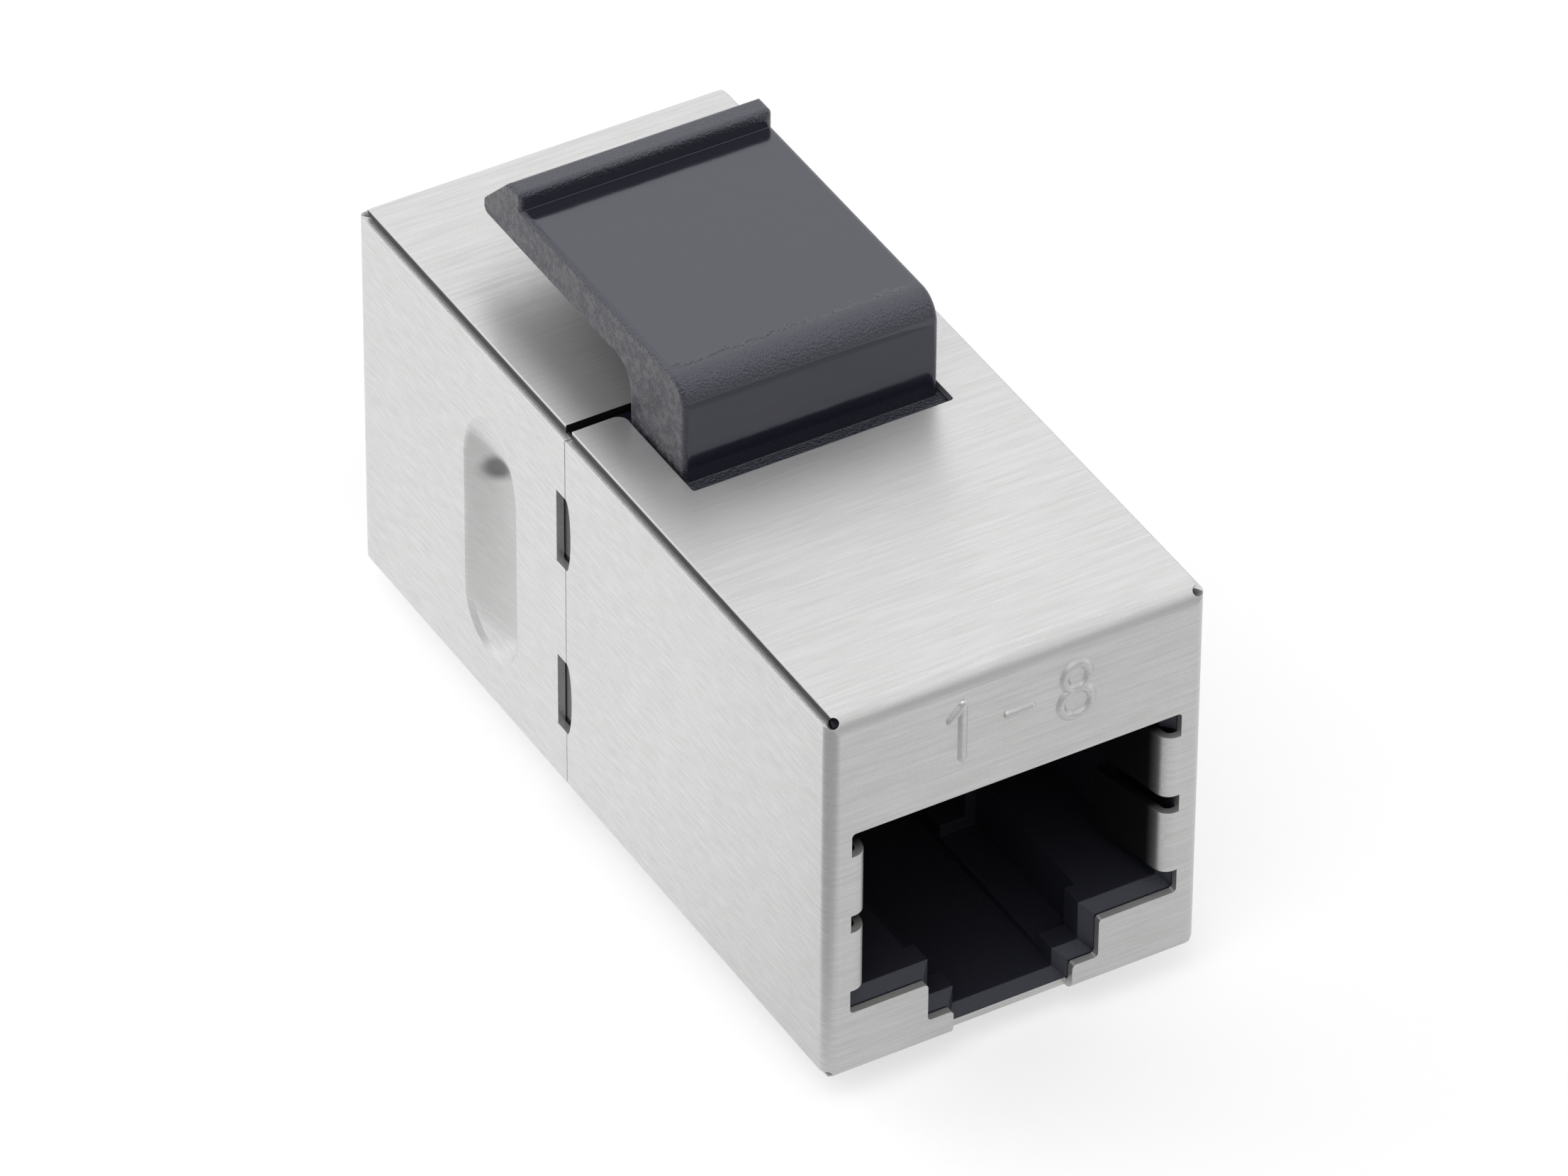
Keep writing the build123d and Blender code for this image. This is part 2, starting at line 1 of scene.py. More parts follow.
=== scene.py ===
"""Looks of a shielded RJ45 inline coupler: brushed shells, moulded latch, black sockets, studio light.

The folded shells, the latch frame, the sockets, the contacts and the board are the solids of the frame.
This file gives each of them its finish, and adds the raised numerals that are stamped into the two end
plates. Lengths in the classes are millimetres unless the class or the name says otherwise.
"""

from __future__ import annotations

import logging
import math
from dataclasses import dataclass, field
from enum import Enum

import bpy
from mathutils import Matrix, Vector

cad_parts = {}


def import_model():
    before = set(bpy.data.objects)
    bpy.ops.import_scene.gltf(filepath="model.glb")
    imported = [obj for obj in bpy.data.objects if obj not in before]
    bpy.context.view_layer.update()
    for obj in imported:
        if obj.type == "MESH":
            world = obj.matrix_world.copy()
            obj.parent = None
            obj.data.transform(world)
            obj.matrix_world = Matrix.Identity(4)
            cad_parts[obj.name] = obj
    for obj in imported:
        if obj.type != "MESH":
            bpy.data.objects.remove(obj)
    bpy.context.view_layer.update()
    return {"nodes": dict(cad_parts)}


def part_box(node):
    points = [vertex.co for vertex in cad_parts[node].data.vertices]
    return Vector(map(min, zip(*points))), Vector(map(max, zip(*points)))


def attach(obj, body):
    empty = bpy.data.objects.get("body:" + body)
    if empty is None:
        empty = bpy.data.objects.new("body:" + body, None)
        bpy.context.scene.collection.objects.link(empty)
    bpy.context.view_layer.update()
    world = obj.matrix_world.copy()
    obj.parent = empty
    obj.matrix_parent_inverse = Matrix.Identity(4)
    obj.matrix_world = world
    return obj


MM = 0.001
BODY = "root"
BEVEL_SAMPLES = 8
# Places of the colour sockets among a Mix node's inputs and outputs.
MIX_FACTOR, MIX_FIRST, MIX_SECOND = 0, 6, 7
MIX_COLOUR = 2
LOG = logging.getLogger("coupler")

Colour = tuple[float, float, float]
Socket = bpy.types.NodeSocket
Sockets = dict[str, Socket]
Group = bpy.types.ShaderNodeTree
Place = tuple[float, float, float]
Path = list[tuple[float, float]]


class Slot(Enum):
    """A name of the shell's material slot; nothing in this script uses it."""

    SHELL = "shell"


class End(Enum):
    """The two ends of the coupler, by the way their plates face along Y."""

    FRONT = -1
    REAR = 1


@dataclass(frozen=True)
class Step:
    """Where a smooth step starts and where it is over."""

    start: float
    end: float


class Graph:
    """A small writer of shader nodes in one node tree."""

    def __init__(self, tree: bpy.types.NodeTree) -> None:
        """Start with an empty tree."""
        self.tree = tree
        self.tree.nodes.clear()

    def node(self, kind: str, **values: object) -> bpy.types.ShaderNode:
        """Add a node and set its properties.

        Args:
            kind: Blender's name of the node type, such as ShaderNodeMath.
            **values: Properties of the node by name.

        Returns:
            The new node.
        """
        node = self.tree.nodes.new(kind)
        for name, value in values.items():
            setattr(node, name, value)
        return node

    def feed(self, socket: Socket, value: object) -> None:
        """Link an output to a socket, or set the socket to a plain value.

        Args:
            socket: The input.
            value: An output of another node, or a constant.
        """
        if isinstance(value, bpy.types.NodeSocket):
            self.tree.links.new(value, socket)
        else:
            socket.default_value = value

    def fill(self, node: bpy.types.ShaderNode, *values: object) -> Socket:
        """Feed a node's first inputs in their order.

        Args:
            node: The node.
            *values: Values or outputs of other nodes.

        Returns:
            The node's first output.
        """
        for socket, value in zip(node.inputs, values):
            self.feed(socket, value)
        return node.outputs[0]

    def math(self, operation: str, *values: object) -> Socket:
        """The result of a Math node with up to three values."""
        return self.fill(self.node("ShaderNodeMath", operation=operation), *values)

    def vector(self, operation: str, *values: object) -> Socket:
        """The vector of a Vector Math node with one or two vectors."""
        return self.fill(self.node("ShaderNodeVectorMath", operation=operation), *values)

    def unit(self, vector: Socket) -> Socket:
        """A vector brought to length one."""
        return self.vector("NORMALIZE", vector)

    def scale(self, vector: Socket, factor: object) -> Socket:
        """Stretch a vector.

        Args:
            vector: The vector.
            factor: A number or an output.

        Returns:
            The vector times the number.
        """
        node = self.node("ShaderNodeVectorMath", operation="SCALE")
        self.feed(node.inputs[0], vector)
        self.feed(node.inputs["Scale"], factor)
        return node.outputs[0]

    def cross(self, first: object, second: object) -> Socket:
        """The unit vector across two vectors."""
        return self.unit(self.vector("CROSS_PRODUCT", first, second))

    def within(self, value: object, middle: float, reach: float) -> Socket:
        """One where a value is no further than reach from a middle, and nought elsewhere."""
        return self.math("COMPARE", value, middle, reach)

    def split(self, vector: Socket) -> tuple[Socket, Socket, Socket]:
        """Take a vector apart.

        Args:
            vector: The vector.

        Returns:
            Its X, Y and Z.
        """
        node = self.node("ShaderNodeSeparateXYZ")
        self.fill(node, vector)
        return tuple(node.outputs)

    def join(self, x: object, y: object, z: object) -> Socket:
        """A vector put together from numbers or outputs."""
        return self.fill(self.node("ShaderNodeCombineXYZ"), x, y, z)

    def ramp(self, value: object, low: float, high: float, start: object = 0.0, end: object = 1.0) -> Socket:
        """A smooth step that a value drives, from start at low to end at high."""
        node = self.node("ShaderNodeMapRange", interpolation_type="SMOOTHSTEP")
        return self.fill(node, value, low, high, start, end)

    def rise(self, value: object, step: Step, unit: float = 1.0) -> Socket:
        """A smooth rise from nought to one over a step that is given in some unit."""
        return self.ramp(value, step.start * unit, step.end * unit)

    def fall(self, value: object, step: Step, unit: float = 1.0) -> Socket:
        """A smooth fall from one to nought over a step that is given in some unit."""
        return self.ramp(value, step.start * unit, step.end * unit, 1.0, 0.0)

    def noise(self, place: Socket, scale: object, detail: float = 2.0, roughness: float = 0.5) -> Socket:
        """Add a Noise texture.

        Args:
            place: Where the texture is read.
            scale: Its scale, as a number or an output.
            detail: How many finer layers it has.
            roughness: How strong the finer layers are.

        Returns:
            Its value.
        """
        node = self.node("ShaderNodeTexNoise", noise_dimensions="3D")
        self.feed(node.inputs["Vector"], place)
        self.feed(node.inputs["Scale"], scale)
        self.feed(node.inputs["Detail"], detail)
        self.feed(node.inputs["Roughness"], roughness)
        return node.outputs[0]

    def blend(self, factor: object, first: object, second: object) -> Socket:
        """Mix two colours.

        Args:
            factor: Nought for the first colour, one for the second.
            first: The first colour.
            second: The second colour.

        Returns:
            The mixed colour.
        """
        node = self.node("ShaderNodeMix", data_type="RGBA")
        self.feed(node.inputs[MIX_FACTOR], factor)
        self.feed(node.inputs[MIX_FIRST], first)
        self.feed(node.inputs[MIX_SECOND], second)
        return node.outputs[MIX_COLOUR]

    def bump(self, height: Socket, distance: float, normal: Socket) -> Socket:
        """Raise a normal by a height.

        Args:
            height: The height, as a share of the distance.
            distance: The distance in metres.
            normal: The normal of the surface below.

        Returns:
            The raised normal.
        """
        node = self.node("ShaderNodeBump")
        self.feed(node.inputs["Height"], height)
        self.feed(node.inputs["Distance"], distance)
        self.feed(node.inputs["Strength"], 1.0)
        self.feed(node.inputs["Normal"], normal)
        return node.outputs[0]

    def rounded(self, radius: float) -> Socket:
        """Round the edges in the shading.

        Args:
            radius: The radius in metres.

        Returns:
            The rounded normal.
        """
        node = self.node("ShaderNodeBevel", samples=BEVEL_SAMPLES)
        self.feed(node.inputs["Radius"], radius)
        return node.outputs[0]


def new_group(
    name: str, inputs: dict[str, float], outputs: dict[str, str]
) -> tuple[Graph, Sockets, Sockets]:
    """Make an empty node group with named sockets.

    Args:
        name: The group's name.
        inputs: Number inputs with their usual values.
        outputs: Outputs with their socket types.

    Returns:
        The graph, the input outputs by name, and the output inputs by name.
    """
    tree = bpy.data.node_groups.new(name, "ShaderNodeTree")
    for label, value in inputs.items():
        socket = tree.interface.new_socket(label, in_out="INPUT", socket_type="NodeSocketFloat")
        socket.default_value = value
    for label, kind in outputs.items():
        tree.interface.new_socket(label, in_out="OUTPUT", socket_type=kind)
    graph = Graph(tree)
    entry = graph.node("NodeGroupInput")
    leave = graph.node("NodeGroupOutput")
    given = {label: entry.outputs[label] for label in inputs}
    wanted = {label: leave.inputs[label] for label in outputs}
    return graph, given, wanted


def new_material(name: str) -> tuple[bpy.types.Material, Graph]:
    """Make a material with an empty node tree.

    Args:
        name: The material's name.

    Returns:
        The material and its graph.
    """
    material = bpy.data.materials.new(name)
    material.use_nodes = True
    return material, Graph(material.node_tree)


@dataclass
class Effects:
    """Shader groups that several finishes share.

    A face counts as a side or a flap once its normal leans that way past the leaning step, and as a bend
    while the strongest part of its normal is below the straight step.
    """

    leaning: Step = Step(0.6, 0.8)
    straight: Step = Step(0.985, 0.9995)
    side_shortening: float = 2.0
    wide_stretch: Place = (0.5, 0.3, 1.0)
    wide_weight: float = 0.5
    scratch_stretch: Place = (0.12, 0.5, 1.0)
    scratched: Step = Step(0.62, 0.72)
    scratch_weight: float = 0.12
    grit_per_mm: float = 18.0
    grit_weight: float = 0.3
    streaked: Step = Step(0.3, 0.72)
    pit_weight: float = 0.5
    handled: Step = Step(0.35, 0.65)
    grain: Group = field(init=False)
    spark: Group = field(init=False)
    handling: Group = field(init=False)

    def __post_init__(self) -> None:
        """Build each group once."""
        self.grain = self.build_grain()
        self.spark = self.build_spark()
        self.handling = self.build_handling()

    def build_grain(self) -> Group:
        """Brushed lines of rolled sheet: along X on the plates and flaps, along Y on the folded sides.

        Returns:
            The group, which puts out the streaks, their height and where the sheet is bent.
        """
        graph, given, wanted = new_group(
            "brushed_grain",
            {"Lines per mm": 22.0, "Line length mm": 1.8},
            {
                "Streak": "NodeSocketFloat",
                "Height": "NodeSocketFloat",
                "Bend": "NodeSocketFloat",
            },
        )
        place = graph.node("ShaderNodeTexCoord").outputs["Object"]
        x, y, z = graph.split(place)
        normal = graph.split(graph.node("ShaderNodeNewGeometry").outputs["True Normal"])
        nx, ny, nz = (graph.math("ABSOLUTE", part) for part in normal)
        on_side = graph.rise(nx, self.leaning)
        on_flap = graph.rise(nz, self.leaning)
        off_side = graph.math("SUBTRACT", 1.0, on_side)
        off_flap = graph.math("SUBTRACT", 1.0, on_flap)
        along = graph.math("ADD", graph.math("MULTIPLY", y, on_side), graph.math("MULTIPLY", x, off_side))
        across = graph.math("ADD", graph.math("MULTIPLY", y, on_flap), graph.math("MULTIPLY", z, off_flap))
        shorter = graph.math("MULTIPLY_ADD", on_side, self.side_shortening, 1.0)
        per_metre = graph.math("MULTIPLY", graph.math("DIVIDE", 1.0 / MM, given["Line length mm"]), shorter)
        lines = graph.math("MULTIPLY", given["Lines per mm"], 1.0 / MM)
        u = graph.math("MULTIPLY", along, per_metre)
        lines_place = graph.join(u, graph.math("MULTIPLY", across, lines), 0.0)
        wide_place = graph.vector("MULTIPLY", lines_place, self.wide_stretch)
        long_place = graph.vector("MULTIPLY", lines_place, self.scratch_stretch)
        fine = graph.noise(lines_place, 1.0, detail=2.0, roughness=0.6)
        wide = graph.noise(wide_place, 1.0, detail=2.0)
        scratch = graph.rise(graph.noise(long_place, 1.0, detail=1.0), self.scratched)
        fine_part = graph.math("MULTIPLY", fine, 1.0 - self.wide_weight)
        both = graph.math("ADD", fine_part, graph.math("MULTIPLY", wide, self.wide_weight))
        specks = graph.noise(place, self.grit_per_mm / MM, detail=2.0)
        grit = graph.math("MULTIPLY_ADD", specks, self.grit_weight, -self.grit_weight / 2)
        marks = graph.math("MULTIPLY_ADD", scratch, self.scratch_weight, grit)
        marked = graph.math("ADD", both, marks)
        graph.feed(wanted["Streak"], graph.rise(marked, self.streaked))
        graph.feed(wanted["Height"], marked)
        strongest = graph.math("MAXIMUM", graph.math("MAXIMUM", nx, ny), nz)
        graph.feed(wanted["Bend"], graph.fall(strongest, self.straight))
        return graph.tree

    def build_spark(self) -> Group:
        """Fine pits of a spark-eroded mould face.

        Returns:
            The group, which puts out the pits' height.
        """
        graph, given, wanted = new_group(
            "spark_texture",
            {"Pits per mm": 9.0},
            {"Height": "NodeSocketFloat"},
        )
        place = graph.node("ShaderNodeTexCoord").outputs["Object"]
        scale = graph.math("MULTIPLY", given["Pits per mm"], 1.0 / MM)
        pits = graph.node("ShaderNodeTexVoronoi", feature="SMOOTH_F1")
        graph.feed(pits.inputs["Vector"], place)
        graph.feed(pits.inputs["Scale"], scale)
        noise = graph.noise(place, scale, detail=3.0, roughness=0.65)
        height = graph.math("MULTIPLY_ADD", pits.outputs["Distance"], self.pit_weight, noise)
        graph.feed(wanted["Height"], height)
        return graph.tree

    def build_handling(self) -> Group:
        """Soft patches where fingers have passed, as a change of sheen.

        Returns:
            The group, which puts out a mask of the patches.
        """
        graph, given, wanted = new_group(
            "handling_sheen",
            {"Patch mm": 6.0},
            {"Patch": "NodeSocketFloat"},
        )
        place = graph.node("ShaderNodeTexCoord").outputs["Object"]
        scale = graph.math("DIVIDE", 1.0 / MM, given["Patch mm"])
        noise = graph.noise(place, scale, detail=4.0, roughness=0.55)
        graph.feed(wanted["Patch"], graph.rise(noise, self.handled))
        return graph.tree


def use_group(graph: Graph, group: Group, **values: float) -> bpy.types.ShaderNodeGroup:
    """Place a shared group in a material.

    Args:
        graph: The material's graph.
        group: The node group.
        **values: Its inputs, with spaces written as underscores.

    Returns:
        The group's node.
    """
    node = graph.node("ShaderNodeGroup", node_tree=group)
    for label, value in values.items():
        node.inputs[label.replace("_", " ")].default_value = value
    return node


def principled(graph: Graph, **values: object) -> None:
    """Add a Principled BSDF with an output to a material.

    Args:
        graph: The material's graph.
        **values: Its inputs, with spaces written as underscores.
    """
    shader = graph.node("ShaderNodeBsdfPrincipled")
    output = graph.node("ShaderNodeOutputMaterial")
    graph.feed(output.inputs["Surface"], shader.outputs[0])
    for label, value in values.items():
        graph.feed(shader.inputs[label.replace("_", " ")], value)


def rgba(colour: Colour) -> tuple[float, float, float, float]:
    """A colour with full alpha."""
    return (*colour, 1.0)


@dataclass(frozen=True)
class ShellSizes:
    """Places on the folded shells that their finish depends on, in metres."""

    half_width: float
    half_length: float
    flap_edge: float
    middle: float
    wall_reach: float
    seam: float
    sheet: float


@dataclass(frozen=True)
class TroughCurve:
    """How the sheet's normal turns inside a pressed trough, past the turn of its solid walls.

    Its places are measured from the trough's middle. The hood is the steep part below the upper end, an oval
    that slants down towards the rear. The shell's finish paints shade inside the trough, on the hood and
    along the crease.
    """

    middle_y: float = 6.85
    middle_z: float = 8.65
    reach_y: float = 1.95
    reach_z: float = 5.35
    sunk: Step = Step(0.015, 0.09)
    foot_from: float = -4.6
    foot_full: float = -3.4
    tip_full: float = 3.2
    tip_to: float = 4.3
    tip_share: float = 0.1
    front_from: float = -1.75
    front_full: float = -1.6
    back_full: float = 1.8
    front_slope: float = 0.2
    back_slope: float = 0.9
    hood_slope: float = 0.62
    hood_y: float = 0.15
    hood_z: float = 2.84
    hood_reach: float = 1.55
    hood_core: float = 0.3
    hood_flatness: float = 1.9
    hood_slant: float = 0.69
    crease_y: float = -1.86
    crease_half_width: float = 0.03
    crease_z: float = -0.7
    crease_reach: float = 3.3

    def at_y(self, off_middle: float) -> float:
        """The Y of a place measured from the trough's middle, in metres."""
        return (self.middle_y + off_middle) * MM

    def at_z(self, off_middle: float) -> float:
        """The Z of a place measured from the trough's middle, in metres."""
        return (self.middle_z + off_middle) * MM

    def mask(self, graph: Graph, place: Socket, half_width: float) -> Socket:
        """One inside a trough and nought elsewhere, from its place and its depth in the side.

        Args:
            graph: The material's graph.
            place: The object coordinates.
            half_width: Half the width of the shells, in metres.

        Returns:
            The mask.
        """
        x, y, z = graph.split(place)
        depth = graph.math("SUBTRACT", half_width, graph.math("ABSOLUTE", x))
        sunk = graph.rise(depth, self.sunk, MM)
        across = graph.within(y, self.at_y(0.0), self.reach_y * MM)
        along = graph.within(z, self.at_z(0.0), self.reach_z * MM)
        above_foot = graph.ramp(z, self.at_z(self.foot_from), self.at_z(self.foot_full))
        below_tip = graph.ramp(z, self.at_z(self.tip_full), self.at_z(self.tip_to), 1.0, self.tip_share)
        past_front = graph.ramp(y, self.at_y(self.front_from), self.at_y(self.front_full))
        inside = graph.math("MULTIPLY", graph.math("MULTIPLY", across, along), sunk)
        lengthways = graph.math("MULTIPLY", above_foot, below_tip)
        return graph.math("MULTIPLY", inside, graph.math("MULTIPLY", lengthways, past_front))

    def hood(self, graph: Graph, place: Socket) -> Socket:
        """The steep part below the trough's upper end.

        Args:
            graph: The material's graph.
            place: The object coordinates.

        Returns:
            One in the hood's core, falling softly to nought at its rim.
        """
        _, y, z = graph.split(place)
        off_z = graph.math("SUBTRACT", z, self.at_z(self.hood_z))
        off_y = graph.math("SUBTRACT", y, self.at_y(self.hood_y))
        slanted = graph.math("MULTIPLY_ADD", off_y, self.hood_slant, off_z)
        flattened = graph.math("MULTIPLY", slanted, self.hood_flatness)
        high_square = graph.math("MULTIPLY", flattened, flattened)
        wide_square = graph.math("MULTIPLY", off_y, off_y)
        off = graph.math("SQRT", graph.math("ADD", high_square, wide_square))
        reach = self.hood_reach * MM
        return graph.ramp(off, self.hood_core * reach, reach, 1.0, 0.0)

    def crease(self, graph: Graph, place: Socket) -> Socket:
        """The fine line where the sheet turns down along the trough's front, where a line of shade is
        painted.

        Args:
            graph: The material's graph.
            place: The object coordinates.

        Returns:
            One on the line and nought elsewhere.
        """
        _, y, z = graph.split(place)
        across = graph.within(y, self.at_y(self.crease_y), self.crease_half_width * MM)
        along = graph.within(z, self.at_z(self.crease_z), self.crease_reach * MM)
        return graph.math("MULTIPLY", across, along)

    def normal(self, graph: Graph, place: Socket, mask: Socket, given: Socket) -> Socket:
        """The normal of the sheet with the troughs' curve laid over it.

        Args:
            graph: The material's graph.
            place: The object coordinates.
            mask: Where the troughs are.
            given: The normal outside them.

        Returns:
            The mixed normal.
        """
        x, y, _ = graph.split(place)
        front = self.at_y(self.front_full)
        back = self.at_y(self.back_full)
        slope_y = graph.ramp(y, front, back, -self.front_slope, -self.back_slope)
        slope_z = graph.math("MULTIPLY", self.hood(graph, place), -self.hood_slope)
        target = graph.join(graph.math("SIGN", x), slope_y, slope_z)
        kept = graph.math("SUBTRACT", 1.0, mask)
        blended = graph.vector("ADD", graph.scale(target, mask), graph.scale(given, kept))
        return graph.unit(blended)


@dataclass(frozen=True)
class BrushedShell:
    """Satin nickel sheet with a brushed grain, stretched bends, sheared edges and painted shade.

    A tone's share says how much of it lies over the brushed sheet. A face is square to an axis when that
    part of its normal is over square_from.
    """

    bright: Colour = (0.68, 0.68, 0.68)
    dull: Colour = (0.59, 0.59, 0.585)
    # Grey of the torn wall ends, also used for the painted shade line along the troughs' creases.
    torn_and_crease_shade: Colour = (0.5, 0.5, 0.5)
    # Painted shade on the joggled tongues in the seam's windows.
    tongue_painted_shade: Colour = (0.28, 0.28, 0.28)
    # Painted shade, near black, on the tucked tabs and in the narrow gaps at the flaps' edges and the seam.
    painted_deep_shade: Colour = (0.03, 0.03, 0.03)
    smooth: float = 0.31
    rough: float = 0.38
    grain_depth: float = 0.001
    bend_depth: float = 0.004
    bend_grain: float = 16.0
    edge_radius: float = 0.035
    brushed: float = 0.7
    metallic: float = 0.75
    patchy_rough: float = 0.04
    bend_rough: float = 0.05
    trough: TroughCurve = field(default_factory=TroughCurve)
    # Painted shade inside the troughs, and how much of it lies over the sheet.
    trough_painted_shade: Colour = (0.56, 0.56, 0.555)
    trough_shade_share: float = 0.6
    # Painted shade: a dark half-moon laid on the steep hood below each trough's upper end.
    hood_painted_shade: Colour = (0.12, 0.12, 0.12)
    hood_shade_share: float = 0.95
    # Painted shade: a fine dark line along each trough's front crease.
    crease_shade_share: float = 0.6
    square_from: float = 0.9
    outward_from: float = 0.3
    side_from: float = 0.7
    torn_per_mm: float = 24.0
    torn_mix: Step = Step(0.4, 0.6)
    torn_past: float = 0.02
    edge_reach: float = 0.01
    sheet_share: float = 0.85
    flap_end_reach: float = 0.5
    window_reach: float = 1.1
    recess_depth: float = 0.06
    tucked: Step = Step(0.15, 0.9)
    mouth_sheets: float = 3.0

    def build(self, effects: Effects, sizes: ShellSizes) -> bpy.types.Material:
        """Make the material.

        Args:
            effects: The shared groups.
            sizes: Places of the flaps, walls and seam.

        Returns:
            The material.
        """
        material, graph = new_material("brushed_shell")
        grain = use_group(graph, effects.grain)
        handling = use_group(graph, effects.handling)
        streak = grain.outputs["Streak"]
        place = graph.node("ShaderNodeTexCoord").outputs["Object"]
        tone = graph.blend(streak, rgba(self.dull), rgba(self.bright))
        tone = self.edge_tones(graph, place, tone, sizes)
        pressed = self.trough.mask(graph, place, sizes.half_width)
        # Painted shade: the inside of each trough is darkened, as if its hollow were in shade.
        tone = graph.blend(graph.math("MULTIPLY", pressed, self.trough_shade_share), tone, rgba(self.trough_painted_shade))
        # Painted shade: the dark half-moon on the hood is laid into the colour.
        hood = graph.math("MULTIPLY", pressed, self.trough.hood(graph, place))
        tone = graph.blend(graph.math("MULTIPLY", hood, self.hood_shade_share), tone, rgba(self.hood_painted_shade))
        # Painted shade: a fine dark line along the crease, in the torn edges' grey.
        crease = graph.math("MULTIPLY", self.trough.crease(graph, place), self.crease_shade_share)
        tone = graph.blend(crease, tone, rgba(self.torn_and_crease_shade))
        sheen = graph.math("MULTIPLY", handling.outputs["Patch"], self.patchy_rough)
        base_rough = graph.ramp(streak, 0.0, 1.0, self.rough, self.smooth)
        stretched = graph.math("MULTIPLY", grain.outputs["Bend"], self.bend_rough)
        rounded = graph.rounded(self.edge_radius * MM)
        curved = self.trough.normal(graph, place, pressed, rounded)
        brushed = graph.bump(grain.outputs["Height"], self.grain_depth * MM, normal=curved)
        sand = graph.noise(place, self.bend_grain / MM, detail=2.0, roughness=0.6)
        pebbles = graph.math("MULTIPLY", sand, grain.outputs["Bend"])
        principled(
            graph,
            Base_Color=tone,
            Metallic=self.metallic,
            Roughness=graph.math("ADD", base_rough, graph.math("ADD", sheen, stretched)),
            Anisotropic=self.brushed,
            Tangent=self.across_grain(graph, curved),
            Normal=graph.bump(pebbles, self.bend_depth * MM, normal=brushed),
        )
        return material

    def edge_tones(self, graph: Graph, place: Socket, tone: Socket, sizes: ShellSizes) -> Socket:
        """Lay torn wall ends and painted shade on tongues, tabs and flap edges over the tone of the sheet.

        Args:
            graph: The material's graph.
            place: The object coordinates.
            tone: The tone of the brushed sheet.
            sizes: Places of the flaps, walls and seam.

        Returns:
            The tone with its torn edges and painted shade.
        """
        x, y, z = graph.split(place)
        x = graph.math("ABSOLUTE", x)
        normal = graph.node("ShaderNodeNewGeometry").outputs["True Normal"]
        nx, ny, nz = (graph.math("ABSOLUTE", part) for part in graph.split(normal))
        off_middle = graph.math("ABSOLUTE", graph.math("SUBTRACT", z, sizes.middle))
        past_walls = graph.math("GREATER_THAN", off_middle, sizes.wall_reach)
        within_walls = graph.math("SUBTRACT", 1.0, past_walls)
        wall_end = self.wall_end(graph, x, nz, sizes)
        noise = graph.noise(place, self.torn_per_mm / MM, detail=2.0, roughness=0.7)
        torn_tone = graph.blend(graph.rise(noise, self.torn_mix), rgba(self.torn_and_crease_shade), rgba(self.bright))
        tone = graph.blend(wall_end, tone, torn_tone)
        # Painted shade: the tongues, deeper in the side, are darkened.
        tongue = graph.math("MULTIPLY", self.tongue(graph, x, y, nx, sizes), within_walls)
        tone = graph.blend(tongue, tone, rgba(self.tongue_painted_shade))
        # Painted shade: the ground tabs behind the plate are made near black.
        tab = graph.math("MULTIPLY", self.tucked_tab(graph, x, y, sizes), within_walls)
        tone = graph.blend(tab, tone, rgba(self.painted_deep_shade))
        # Painted shade: the flaps' edges at the sides and in the seam, deep in narrow gaps, are made near
        # black.
        flap_side = graph.math("MULTIPLY", self.flap_side(graph, x, nx, off_middle, sizes), past_walls)
        flap_end = graph.math("MULTIPLY", self.flap_end(graph, y, ny, sizes), past_walls)
        return graph.blend(graph.math("MAXIMUM", flap_side, flap_end), tone, rgba(self.painted_deep_shade))

    def wall_end(self, graph: Graph, x: Socket, nz: Socket, sizes: ShellSizes) -> Socket:
        """The torn upper and lower ends of the side walls.

        Args:
            graph: The material's graph.
            x: How far the place is from the middle, across the shell.
            nz: How far the face looks up or down.
            sizes: Places of the flaps, walls and seam.

        Returns:
            One there and nought elsewhere.
        """
        level = graph.math("GREATER_THAN", nz, self.square_from)
        past_flap = graph.math("GREATER_THAN", x, sizes.flap_edge + self.torn_past * MM)
        return graph.math("MULTIPLY", level, past_flap)

    def tongue(self, graph: Graph, x: Socket, y: Socket, nx: Socket, sizes: ShellSizes) -> Socket:
        """The joggled tongues, which lie deeper than the side they show in, and where their shade is
        painted.

        Args:
            graph: The material's graph.
            x: How far the place is from the middle, across the shell.
            y: The place's Y.
            nx: How far the face looks sideways.
            sizes: Places of the flaps, walls and seam.

        Returns:
            One there and nought elsewhere.
        """
        near_window = graph.within(y, sizes.seam, self.window_reach * MM)
        recessed = graph.math("LESS_THAN", x, sizes.half_width - self.recess_depth * MM)
        outward = graph.math("GREATER_THAN", nx, self.outward_from)
        return graph.math("MULTIPLY", graph.math("MULTIPLY", near_window, recessed), outward)

    def tucked_tab(self, graph: Graph, x: Socket, y: Socket, sizes: ShellSizes) -> Socket:
        """The part of each ground tab behind the plate, where deep shade is painted.

        Args:
            graph: The material's graph.
            x: How far the place is from the middle, across the shell.
            y: The place's Y.
            sizes: Places of the flaps, walls and seam.

        Returns:
            One there and nought elsewhere.
        """
        behind_plate = graph.math("SUBTRACT", sizes.half_length, graph.math("ABSOLUTE", y))
        tucked = graph.rise(behind_plate, self.tucked, MM)
        in_mouth = graph.math("LESS_THAN", x, sizes.half_width - self.mouth_sheets * sizes.sheet)
        return graph.math("MULTIPLY", tucked, in_mouth)

